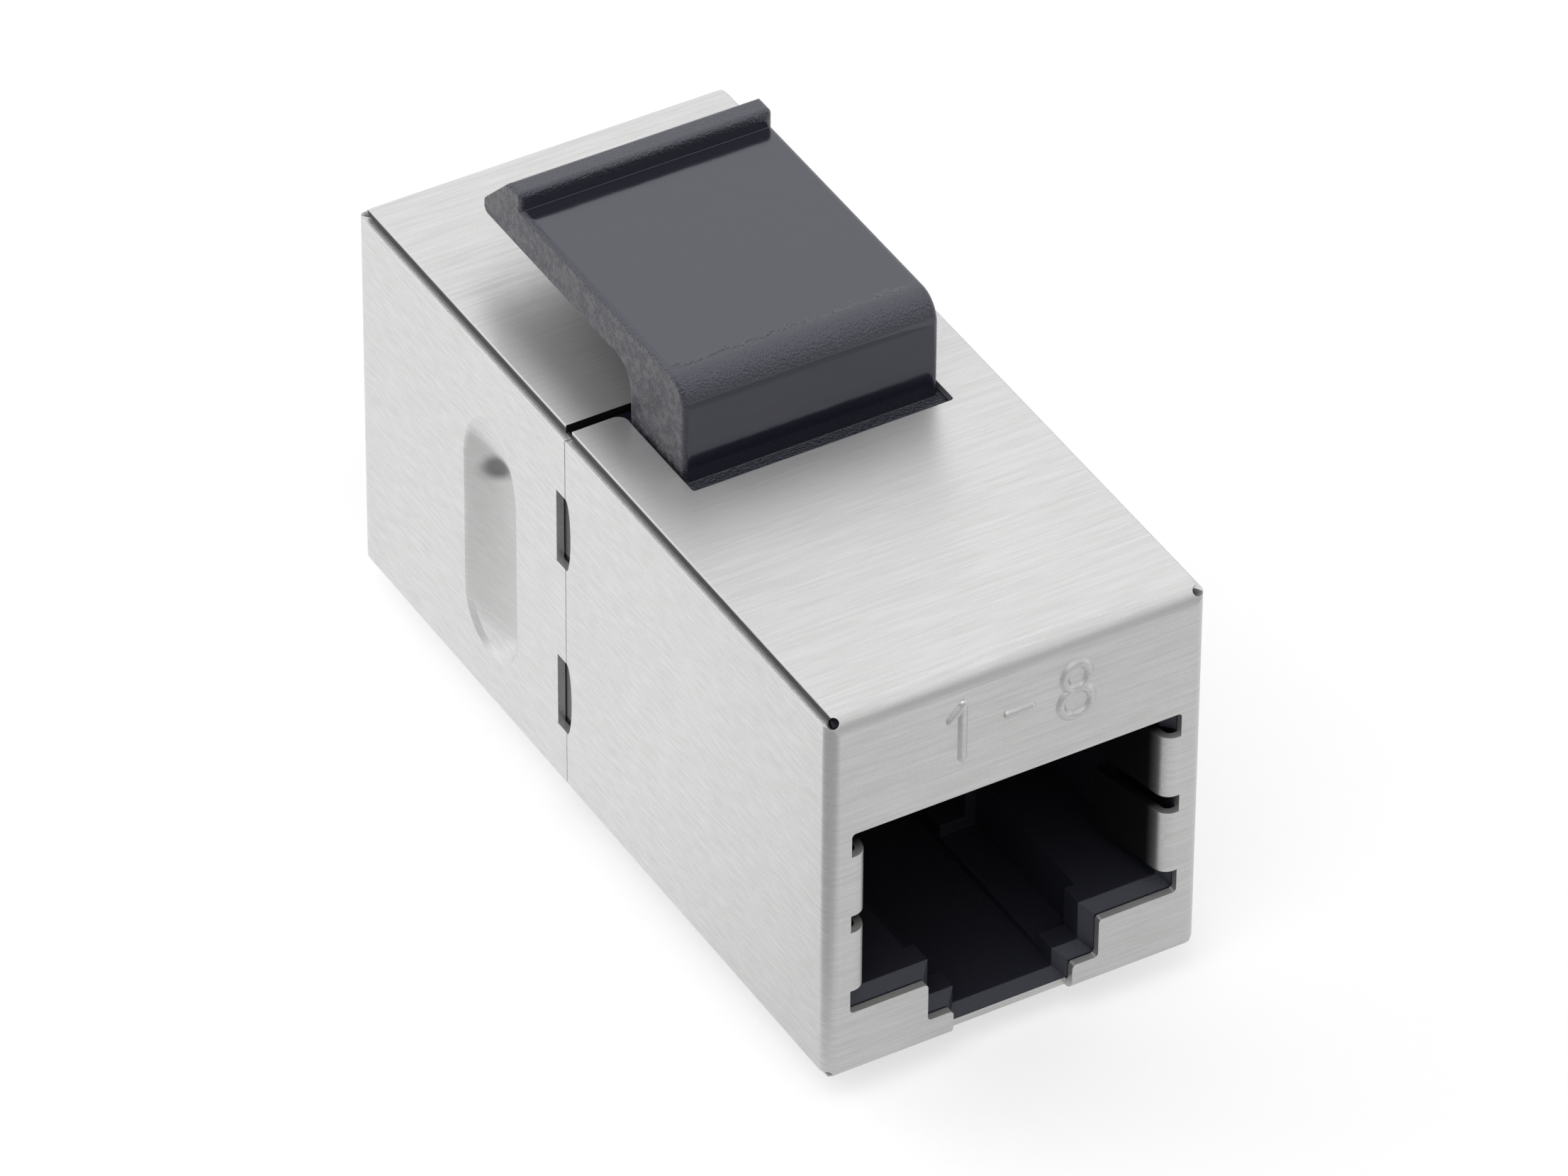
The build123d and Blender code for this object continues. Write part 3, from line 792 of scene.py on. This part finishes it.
    def flap_side(
        self, graph: Graph, x: Socket, nx: Socket, off_middle: Socket, sizes: ShellSizes
    ) -> Socket:
        """The sheared edges along the flaps' sides, where deep shade is painted.

        Args:
            graph: The material's graph.
            x: How far the place is from the middle, across the shell.
            nx: How far the face looks sideways.
            off_middle: How far the place is above or below the shell's middle.
            sizes: Places of the flaps, walls and seam.

        Returns:
            One there and nought elsewhere.
        """
        sideways = graph.math("GREATER_THAN", nx, self.square_from)
        at_edge = graph.within(x, sizes.flap_edge, self.edge_reach * MM)
        in_sheet = graph.math("LESS_THAN", off_middle, sizes.wall_reach + self.sheet_share * sizes.sheet)
        return graph.math("MULTIPLY", graph.math("MULTIPLY", sideways, at_edge), in_sheet)

    def flap_end(self, graph: Graph, y: Socket, ny: Socket, sizes: ShellSizes) -> Socket:
        """The sheared edges at the flaps' ends, in the seam, where deep shade is painted.

        Args:
            graph: The material's graph.
            y: The place's Y.
            ny: How far the face looks lengthways.
            sizes: Places of the flaps, walls and seam.

        Returns:
            One there and nought elsewhere.
        """
        lengthways = graph.math("GREATER_THAN", ny, self.square_from)
        near_seam = graph.within(y, sizes.seam, self.flap_end_reach * MM)
        return graph.math("MULTIPLY", lengthways, near_seam)

    def across_grain(self, graph: Graph, normal: Socket) -> Socket:
        """The direction on the sheet at right angles to its grain: X on plates and flaps, Y on the sides.

        Args:
            graph: The material's graph.
            normal: The sheet's normal.

        Returns:
            The unit direction.
        """
        nx, _, _ = graph.split(graph.node("ShaderNodeNewGeometry").outputs["Normal"])
        on_side = graph.math("GREATER_THAN", graph.math("ABSOLUTE", nx), self.side_from)
        off_side = graph.math("SUBTRACT", 1.0, on_side)
        return graph.cross(normal, graph.join(off_side, on_side, 0.0))


@dataclass(frozen=True)
class MouldedPlastic:
    """Injection-moulded plastic: spark-textured, with polished faces where it looks forward or lies flat.

    Its sides can be rubbed lighter in a mottle. A face is square to an axis when that part of its normal is
    over square_from. The polish on top starts at a ragged line, ragged_reach wide.
    """

    name: str
    colour: Colour
    rubbed: Colour
    textured: float
    polished: float
    polished_below: float = 0.0
    specular: float = 0.5
    pits_per_mm: float = 9.0
    pit_depth: float = 0.012
    peel_depth: float = 0.0
    mottle_depth: float = 0.0
    polished_from: float = -100.0
    edge_radius: float = 0.06
    tint: Colour = (0.88, 0.89, 1.0)
    square_from: float = 0.97
    side_from: float = 0.9
    ragged_per_mm: float = 2.4
    ragged_reach: float = 1.2
    polish_offset: float = 0.5
    polish_blend: float = 0.12
    peel_per_mm: float = 1.1
    mottle_per_mm: float = 3.5
    rubbing: Step = Step(0.42, 0.6)
    patchy_rough: float = 0.03

    def build(self, effects: Effects) -> bpy.types.Material:
        """Make the material.

        Args:
            effects: The shared groups.

        Returns:
            The material.
        """
        material, graph = new_material(self.name)
        spark = use_group(graph, effects.spark, Pits_per_mm=self.pits_per_mm)
        handling = use_group(graph, effects.handling)
        place = graph.node("ShaderNodeTexCoord").outputs["Object"]
        normal = graph.node("ShaderNodeNewGeometry").outputs["True Normal"]
        nx, _, _ = graph.split(normal)
        coarse = graph.math("SUBTRACT", 1.0, self.smooth_faces(graph, place, normal))
        rounded = graph.rounded(self.edge_radius * MM)
        waves = graph.noise(place, self.peel_per_mm / MM, detail=1.0)
        peel = graph.bump(waves, self.peel_depth * MM, normal=rounded)
        sideways = graph.math("GREATER_THAN", graph.math("ABSOLUTE", nx), self.side_from)
        mottle = graph.noise(place, self.mottle_per_mm / MM, detail=4.0, roughness=0.7)
        mottled = graph.bump(graph.math("MULTIPLY", mottle, sideways), self.mottle_depth * MM, normal=peel)
        worn = graph.math("MULTIPLY", graph.rise(mottle, self.rubbing), sideways)
        pits = graph.math("MULTIPLY", spark.outputs["Height"], coarse)
        spread = graph.math("MULTIPLY", handling.outputs["Patch"], self.patchy_rough)
        sheen = graph.math("MULTIPLY_ADD", coarse, self.textured - self.polished, self.polished)
        principled(
            graph,
            Base_Color=graph.blend(worn, rgba(self.colour), rgba(self.rubbed)),
            Specular_IOR_Level=self.specular,
            Specular_Tint=rgba(self.tint),
            Roughness=graph.math("ADD", spread, sheen),
            Normal=graph.bump(pits, self.pit_depth * MM, normal=mottled),
        )
        return material

    def smooth_faces(self, graph: Graph, place: Socket, normal: Socket) -> Socket:
        """The polished faces: those that look forward, and the flat top behind its ragged line.

        Args:
            graph: The material's graph.
            place: The object coordinates.
            normal: The face's normal.

        Returns:
            One there and nought on the textured faces.
        """
        _, y, z = graph.split(place)
        _, ny, nz = graph.split(normal)
        wander = graph.noise(place, self.ragged_per_mm / MM, detail=3.0)
        ragged = graph.math("MULTIPLY_ADD", wander, self.ragged_reach * MM, y)
        start = (self.polished_from + self.polish_offset) * MM
        behind_nose = graph.ramp(ragged, start, start + self.polish_blend * MM)
        flat = graph.math("MULTIPLY", graph.math("GREATER_THAN", nz, self.square_from), behind_nose)
        forward = graph.math("LESS_THAN", ny, -self.square_from)
        low = graph.math("LESS_THAN", z, self.polished_below * MM)
        return graph.math("MULTIPLY", graph.math("MAXIMUM", flat, forward), low)


@dataclass(frozen=True)
class GoldContact:
    """Gold-plated spring strip."""

    bright: Colour = (0.9, 0.66, 0.26)
    dull: Colour = (0.72, 0.528, 0.208)
    smooth: float = 0.24
    rough: float = 0.34
    lines_per_mm: float = 20.0

    def build(self, effects: Effects) -> bpy.types.Material:
        """Make the material.

        Args:
            effects: The shared groups.

        Returns:
            The material.
        """
        material, graph = new_material("gold_contact")
        grain = use_group(graph, effects.grain, Lines_per_mm=self.lines_per_mm)
        streak = grain.outputs["Streak"]
        principled(
            graph,
            Base_Color=graph.blend(streak, rgba(self.dull), rgba(self.bright)),
            Metallic=1.0,
            Roughness=graph.ramp(streak, 0.0, 1.0, self.rough, self.smooth),
        )
        return material


@dataclass(frozen=True)
class BoardLaminate:
    """Green solder mask on glass laminate."""

    mask: Colour = (0.012, 0.11, 0.045)
    weave: Colour = (0.02, 0.16, 0.07)
    patch: float = 0.6
    roughness: float = 0.35

    def build(self, effects: Effects) -> bpy.types.Material:
        """Make the material.

        Args:
            effects: The shared groups.

        Returns:
            The material.
        """
        material, graph = new_material("board_laminate")
        patch = use_group(graph, effects.handling, Patch_mm=self.patch)
        principled(
            graph,
            Base_Color=graph.blend(patch.outputs["Patch"], rgba(self.mask), rgba(self.weave)),
            Roughness=self.roughness,
        )
        return material


def dress(node: bpy.types.Object, material: bpy.types.Material) -> None:
    """Give every material slot of a frame node one finish."""
    for slot in node.material_slots:
        slot.material = material


@dataclass(frozen=True)
class Bead:
    """The raised section of a stamped stroke, let into the plate by its sink."""

    half_width: float = 0.22
    height: float = 0.15
    sink: float = 0.02
    steps: int = 10
    fullness: float = 1.5
    end_turns: tuple[float, ...] = (0.3, 0.6, 0.85, 0.97)

    def ring(self, middle: Vector, ahead: Vector, scale: float) -> list[Vector]:
        """One section across a stroke.

        Args:
            middle: The stroke's middle, in the plane of the plate.
            ahead: The unit direction of the stroke.
            scale: How much of its full size the section has.

        Returns:
            Points whose third coordinate stands out from the plate.
        """
        across = Vector((-ahead.y, ahead.x))
        points = []
        for step in range(self.steps + 1):
            share = 2.0 * step / self.steps - 1.0
            flat = middle + across * (share * scale * self.half_width)
            rise = self.height * scale * (1.0 - share * share) ** self.fullness
            points.append(Vector((flat.x, flat.y, rise - self.sink)))
        return points

    def sections(self, path: Path, closed: bool) -> list[list[Vector]]:
        """The sections along a path, with rounded ends on an open one.

        Args:
            path: The stroke's points in the plane of the plate.
            closed: Whether the stroke joins its own start.

        Returns:
            The rings of points.
        """
        points = [Vector(point) for point in path]
        last = len(points) - 1
        rings = []
        for index, point in enumerate(points):
            before = points[index - 1] if closed or index else point
            after = points[(index + 1) % len(points)] if closed or index < last else point
            rings.append(self.ring(point, (after - before).normalized(), 1.0))
        if closed:
            return rings + rings[:1]
        first_way = (points[1] - points[0]).normalized()
        last_way = (points[-1] - points[-2]).normalized()
        for turn in self.end_turns:
            reach = turn * self.half_width
            scale = math.sqrt(1.0 - turn * turn)
            rings.insert(0, self.ring(points[0] - first_way * reach, first_way, scale))
            rings.append(self.ring(points[-1] + last_way * reach, last_way, scale))
        return rings


@dataclass
class StampedNumerals:
    """The first and last contact numbers, raised in the plate above a socket's mouth.

    Each stroke lies in the plate's plane, with X from its middle and its height from base_height.
    """

    end: End
    base_height: float = 13.45
    spread: float = 2.2
    figure_height: float = 2.2
    flag_reach: float = 0.45
    flag_drop: float = 0.45
    dash_reach: float = 0.4
    upper_middle: float = 1.68
    upper_radii: tuple[float, float] = (0.48, 0.52)
    lower_middle: float = 0.58
    lower_radii: tuple[float, float] = (0.6, 0.58)
    loop_points: int = 40
    bead: Bead = field(default_factory=Bead)

    def strokes(self) -> list[tuple[Path, bool]]:
        """The paths of a one, a dash and an eight.

        Returns:
            Each path, and whether it is closed.
        """
        one = -self.spread
        eight = self.spread
        top = self.figure_height
        half = top / 2
        return [
            ([(one - self.flag_reach, top - self.flag_drop), (one, top)], False),
            ([(one, top), (one, half), (one, 0.0)], False),
            ([(-self.dash_reach, half), (self.dash_reach, half)], False),
            (self.loop((eight, self.upper_middle), self.upper_radii), True),
            (self.loop((eight, self.lower_middle), self.lower_radii), True),
        ]

    def loop(self, middle: tuple[float, float], radii: tuple[float, float]) -> Path:
        """An oval path.

        Args:
            middle: Its middle.
            radii: Its half width and half height.

        Returns:
            Its points.
        """
        angles = [2.0 * math.pi * step / self.loop_points for step in range(self.loop_points)]
        x, z = middle
        return [(x + radii[0] * math.cos(a), z + radii[1] * math.sin(a)) for a in angles]

    def build(self, plate_y: float, material: bpy.types.Material) -> None:
        """Make the raised strokes as one piece on a plate, riding on the body.

        Args:
            plate_y: The Y of the plate's outer face, in metres.
            material: The shell's finish.
        """
        corners = []
        faces = []
        side = self.end.value
        for path, closed in self.strokes():
            rings = self.bead.sections(path, closed)
            start = len(corners)
            width = self.bead.steps + 1
            for ring in rings:
                for point in ring:
                    x = -side * point.x * MM
                    z = (self.base_height + point.y) * MM
                    corners.append((x, plate_y + side * point.z * MM, z))
            for row in range(len(rings) - 1):
                for column in range(width - 1):
                    at = start + row * width + column
                    faces.append((at, at + width, at + width + 1, at + 1))
        name = f"{self.end.name.lower()}_numerals"
        mesh = bpy.data.meshes.new(name)
        mesh.from_pydata(corners, [], faces)
        mesh.polygons.foreach_set("use_smooth", [True] * len(mesh.polygons))
        mesh.materials.append(material)
        mesh.update()
        piece = bpy.data.objects.new(name, mesh)
        bpy.context.scene.collection.objects.link(piece)
        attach(piece, BODY)
        LOG.info("added %s", name)


@dataclass(frozen=True)
class Lamp:
    """A square area lamp. Places and size are metres, power is watts."""

    name: str
    place: Place
    target: Place
    size: float
    power: float

    def build(self) -> None:
        """Stand the lamp in the scene, facing its target."""
        data = bpy.data.lights.new(self.name, "AREA")
        data.size = self.size
        data.energy = self.power
        lamp = bpy.data.objects.new(self.name, data)
        lamp.location = self.place
        lamp.rotation_euler = (Vector(self.place) - Vector(self.target)).to_track_quat("Z", "Y").to_euler()
        bpy.context.scene.collection.objects.link(lamp)


@dataclass
class Studio:
    """Pale floor, soft light and the camera of the photograph.

    The floor is in metres and its steps are in millimetres, and the sky's steps are in parts of a unit
    direction. The camera's places are in millimetres, its direction in degrees, its slight roll in radians,
    its focal length in pixels of the photograph and its clip start in metres. In the shells' reflections a
    wedge of the floor at the front left is dim, and so is the room low in front and on the left.
    """

    floor_size: float = 4.0
    paper: Colour = (0.8, 0.8, 0.8)
    dim: Colour = (0.5, 0.5, 0.5)
    lift: float = 0.46
    front_lift: float = 0.32
    rear_lift: float = 0.62
    near_lean: float = 1.7
    near_side: Step = Step(-40.0, -34.0)
    far_lean: float = 0.7
    far_side: Step = Step(-20.0, -15.0)
    wedge_side: Step = Step(-14.0, -9.0)
    rear_part: Step = Step(-20.0, 5.0)
    sky: float = 0.55
    sky_mirrored: float = 1.3
    room_mirrored: float = 0.02
    ahead: Step = Step(-0.75, -0.35)
    left: Step = Step(-0.75, -0.45)
    left_rear: Step = Step(0.45, 0.62)
    low: Step = Step(0.3, 0.6)
    lamps: tuple[Lamp, ...] = (
        Lamp("top_box", (-0.25, -0.2, 0.6), (0.0, 0.0, 0.0), 0.4, 0.8),
        Lamp("left_box", (-0.42, 0.47, 0.35), (0.0, 0.0, 0.01), 0.4, 0.6),
    )
    azimuth: float = -30.311
    elevation: float = 38.910
    roll: float = 0.007
    distance: float = 416.15
    focal_px: float = 17099.7
    image_width: float = 2212.0
    sensor: float = 36.0
    aim: Place = (-0.05, 0.043, 9.058)
    right_shift: float = 0.453
    up_shift: float = -0.581
    clip_start: float = 0.01

    def build(self) -> None:
        """Make the floor, the world, the lamps and the camera."""
        self.build_floor()
        self.build_world()
        for lamp in self.lamps:
            lamp.build()
        self.build_camera()
        LOG.info("built the studio")

    def build_floor(self) -> None:
        """A pale sheet that shows the object's shadow."""
        half = self.floor_size / 2
        mesh = bpy.data.meshes.new("floor")
        corners = [(-half, -half, 0), (half, -half, 0), (half, half, 0), (-half, half, 0)]
        mesh.from_pydata(corners, [], [(0, 1, 2, 3)])
        floor = bpy.data.objects.new("floor", mesh)
        bpy.context.scene.collection.objects.link(floor)
        mesh.materials.append(self.paper_material())

    def paper_material(self) -> bpy.types.Material:
        """Paper that glows faintly to the camera, and otherwise only in reflections.

        Returns:
            The material.
        """
        material, graph = new_material("paper_floor")
        path = graph.node("ShaderNodeLightPath")
        glossy = path.outputs["Is Glossy Ray"]
        paper = graph.node("ShaderNodeBsdfDiffuse")
        glow = graph.node("ShaderNodeEmission")
        x, y, _ = graph.split(graph.node("ShaderNodeTexCoord").outputs["Object"])
        wedge = self.dim_wedge(graph, x, y)
        dark = graph.math("MULTIPLY", wedge, glossy)
        graph.feed(paper.inputs["Color"], graph.blend(dark, rgba(self.paper), rgba(self.dim)))
        rear = self.rear_part
        behind = graph.ramp(y, rear.start * MM, rear.end * MM, self.front_lift, self.rear_lift)
        lit_part = graph.math("SUBTRACT", 1.0, wedge)
        mirrored = graph.math("MULTIPLY", glossy, graph.math("MULTIPLY", behind, lit_part))
        seen = graph.math("MULTIPLY", path.outputs["Is Camera Ray"], self.lift)
        graph.feed(glow.inputs["Strength"], graph.math("ADD", seen, mirrored))
        total = graph.node("ShaderNodeAddShader")
        graph.feed(total.inputs[0], paper.outputs[0])
        graph.feed(total.inputs[1], glow.outputs[0])
        output = graph.node("ShaderNodeOutputMaterial")
        graph.feed(output.inputs["Surface"], total.outputs[0])
        return material

    def dim_wedge(self, graph: Graph, x: Socket, y: Socket) -> Socket:
        """The part of the floor at the front left that the bends mirror.

        Args:
            graph: The floor's graph.
            x: The place's X.
            y: The place's Y.

        Returns:
            One inside the wedge and nought outside it.
        """
        near = graph.fall(graph.math("MULTIPLY_ADD", x, self.near_lean, y), self.near_side, MM)
        far = graph.fall(graph.math("MULTIPLY_ADD", x, self.far_lean, y), self.far_side, MM)
        return graph.math("MULTIPLY", graph.math("MULTIPLY", near, far), graph.fall(x, self.wedge_side, MM))

    def build_world(self) -> None:
        """A plain sky, white to the camera and grey to the rest, with a dark room mirrored in the bends."""
        world = bpy.data.worlds.new("studio")
        world.use_nodes = True
        graph = Graph(world.node_tree)
        path = graph.node("ShaderNodeLightPath")
        x, y, z = graph.split(graph.node("ShaderNodeTexCoord").outputs["Generated"])
        ahead = graph.fall(y, self.ahead)
        left = graph.math("MULTIPLY", graph.fall(x, self.left), graph.fall(y, self.left_rear))
        low = graph.fall(z, self.low)
        room = graph.math("MULTIPLY", graph.math("MAXIMUM", ahead, left), low)
        mirrored = graph.ramp(room, 0.0, 1.0, self.sky_mirrored, self.room_mirrored)
        lit = graph.ramp(path.outputs["Is Glossy Ray"], 0.0, 1.0, self.sky, mirrored)
        strength = graph.ramp(path.outputs["Is Camera Ray"], 0.0, 1.0, lit, 1.0)
        background = graph.node("ShaderNodeBackground")
        graph.feed(background.inputs["Color"], (1.0, 1.0, 1.0, 1.0))
        graph.feed(background.inputs["Strength"], strength)
        output = graph.node("ShaderNodeOutputWorld")
        graph.feed(output.inputs["Surface"], background.outputs[0])
        bpy.context.scene.world = world

    def build_camera(self) -> None:
        """The photograph's camera, from its solved direction, distance and focal length."""
        turn = math.radians(self.azimuth)
        lift = math.radians(self.elevation)
        back = Vector((math.sin(turn) * math.cos(lift), -math.cos(turn) * math.cos(lift), math.sin(lift)))
        level = Vector((math.cos(turn), math.sin(turn), 0.0))
        upright = back.cross(level)
        right = level * math.cos(self.roll) + upright * math.sin(self.roll)
        up = back.cross(right)
        place = Vector(self.aim) + back * self.distance
        place += level * self.right_shift + upright * self.up_shift
        data = bpy.data.cameras.new("camera")
        data.sensor_width = self.sensor
        data.lens = self.sensor * self.focal_px / self.image_width
        data.clip_start = self.clip_start
        camera = bpy.data.objects.new("camera", data)
        turned = Matrix((right, up, back)).transposed().to_4x4()
        camera.matrix_world = Matrix.Translation(place * MM) @ turned
        bpy.context.scene.collection.objects.link(camera)
        bpy.context.scene.camera = camera


@dataclass
class Coupler:
    """The frame's solids and their finishes.

    The sheet, the gap under a folded edge, the step of a flap's side and the seam's gap are those of the
    solids. polished_length runs from the latch's end to the start of its polished top.
    """

    nodes: dict[str, bpy.types.Object]
    effects: Effects
    sheet: float = 0.3
    fold_gap: float = 0.05
    wall_step: float = 0.25
    seam_gap: float = 0.35
    lip_height: float = 0.7
    polished_length: float = 12.55
    black: Colour = (0.02, 0.021, 0.03)

    def dress(self) -> None:
        """Give each solid the finish of its piece."""
        low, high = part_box("front_shell")
        rear_low, rear_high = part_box("rear_shell")
        shell = BrushedShell().build(self.effects, self.shell_sizes(low, high, rear_low.y))
        socket = MouldedPlastic(
            name="socket_plastic", colour=self.black, rubbed=self.black, textured=0.42, polished=0.42
        ).build(self.effects)
        contact = GoldContact().build(self.effects)
        finishes = {
            "front_shell": shell,
            "rear_shell": shell,
            "latch_frame": self.latch_plastic().build(self.effects),
            "front_housing": socket,
            "rear_housing": socket,
            "front_contact_block": socket,
            "rear_contact_block": socket,
            "circuit_board": BoardLaminate().build(self.effects),
        }
        for name, node in self.nodes.items():
            dress(node, finishes.get(name, contact))
            LOG.info("dressed %s", name)
        StampedNumerals(End.FRONT).build(low.y, shell)
        StampedNumerals(End.REAR).build(rear_high.y, shell)

    def shell_sizes(self, low: Vector, high: Vector, rear_start: float) -> ShellSizes:
        """The places that the shells' finish depends on.

        Args:
            low: The front shell's lowest corner, in metres.
            high: Its highest corner.
            rear_start: The Y where the rear shell starts.

        Returns:
            The places, in metres.
        """
        return ShellSizes(
            half_width=high.x,
            half_length=-low.y,
            flap_edge=high.x - self.wall_step * MM,
            middle=(low.z + high.z) / 2,
            wall_reach=(high.z - low.z) / 2 - (self.sheet + self.fold_gap) * MM,
            seam=rear_start + self.seam_gap / 2 * MM,
            sheet=self.sheet * MM,
        )

    def latch_plastic(self) -> MouldedPlastic:
        """The latch's finish, polished on its flat top behind the nose and on its front.

        Returns:
            The finish, with its polish placed from the frame's box.
        """
        _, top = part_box("latch_frame")
        return MouldedPlastic(
            name="latch_plastic",
            colour=(0.017, 0.018, 0.029),
            rubbed=(0.1, 0.095, 0.098),
            textured=0.3,
            polished=0.12,
            polished_below=top.z / MM - self.lip_height / 2,
            polished_from=top.y / MM - self.polished_length,
            specular=1.0,
            pits_per_mm=12.0,
            pit_depth=0.06,
            peel_depth=0.007,
            mottle_depth=0.035,
        )


def main() -> None:
    """Load the frame, dress it, add the stamped numerals and light it."""
    logging.basicConfig(level=logging.INFO, format="%(name)s: %(message)s")
    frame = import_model()
    bpy.context.scene.view_settings.view_transform = "Standard"
    Coupler(frame["nodes"], Effects()).dress()
    Studio().build()


if __name__ == "__main__":
    main()
